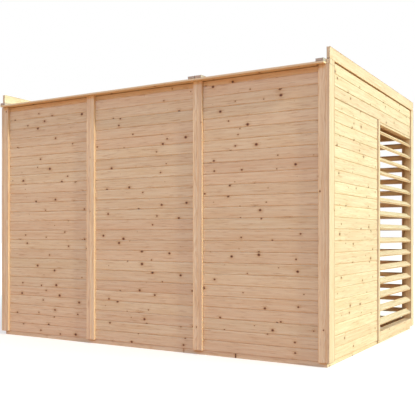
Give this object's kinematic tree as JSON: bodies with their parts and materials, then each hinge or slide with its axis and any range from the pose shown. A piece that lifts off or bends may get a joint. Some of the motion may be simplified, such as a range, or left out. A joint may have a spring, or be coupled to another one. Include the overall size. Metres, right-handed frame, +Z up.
{
  "type": "garden pavilion",
  "caption": "Flat-roofed timber garden pavilion with a closed boarded rear wall, half boarded and half louvred sides, and an open front between two louvred bays.",
  "frame": {"origin": "middle of the overall footprint, on the ground", "axes": "+Z up; the open front faces -Y and the closed rear wall stands at +Y; +X is to the right as seen from the front"},
  "size_m": [3.36, 2.495, 2.3355],
  "materials": {
    "rear_boards": "planed, untreated spruce",
    "side_boards": "planed, untreated spruce",
    "frames": "planed, untreated spruce",
    "trim": "planed, untreated spruce",
    "inner_frame": "planed, untreated spruce",
    "louvre_slats": "planed, untreated spruce",
    "roof_boards": "planed, untreated spruce",
    "roof_battens": "sawn spruce",
    "base_runners": "planed, untreated spruce"
  },
  "bodies": {
    "root": {"base_rear": "base_runners", "base_left": "base_runners", "base_right": "base_runners", "base_front": "base_runners", "rear_boards_left": "rear_boards", "rear_boards_middle": "rear_boards", "rear_boards_right": "rear_boards", "rear_stile_left_outer": "frames", "rear_stile_left_inner": "frames", "rear_stile_middle_left": "frames", "rear_stile_middle_right": "frames", "rear_stile_right_inner": "frames", "rear_stile_right_outer": "frames", "rear_rails": "inner_frame", "corner_board_left": "trim", "corner_board_right": "trim", "corner_post_left": "trim", "corner_post_right": "trim", "side_boards_left": "side_boards", "side_boards_right": "side_boards", "side_header_boards_left": "side_boards", "side_header_boards_right": "side_boards", "side_studs_left": "inner_frame", "side_studs_right": "inner_frame", "side_rails_left": "inner_frame", "side_rails_right": "inner_frame", "side_fascia_left": "trim", "side_fascia_right": "trim", "side_louvre_frame_left": "frames", "side_louvre_frame_right": "frames", "side_louvre_slats_left": "louvre_slats", "side_louvre_slats_right": "louvre_slats", "front_louvre_frame_left": "frames", "front_louvre_frame_right": "frames", "front_louvre_slats_left": "louvre_slats", "front_louvre_slats_right": "louvre_slats", "entrance_post_left": "frames", "entrance_post_right": "frames", "front_lintel": "inner_frame", "front_header_boards": "side_boards", "front_fascia": "trim", "roof_deck_left": "roof_boards", "roof_deck_right": "roof_boards", "roof_battens": "roof_battens", "rafters": "inner_frame"}
  },
  "joints": []
}
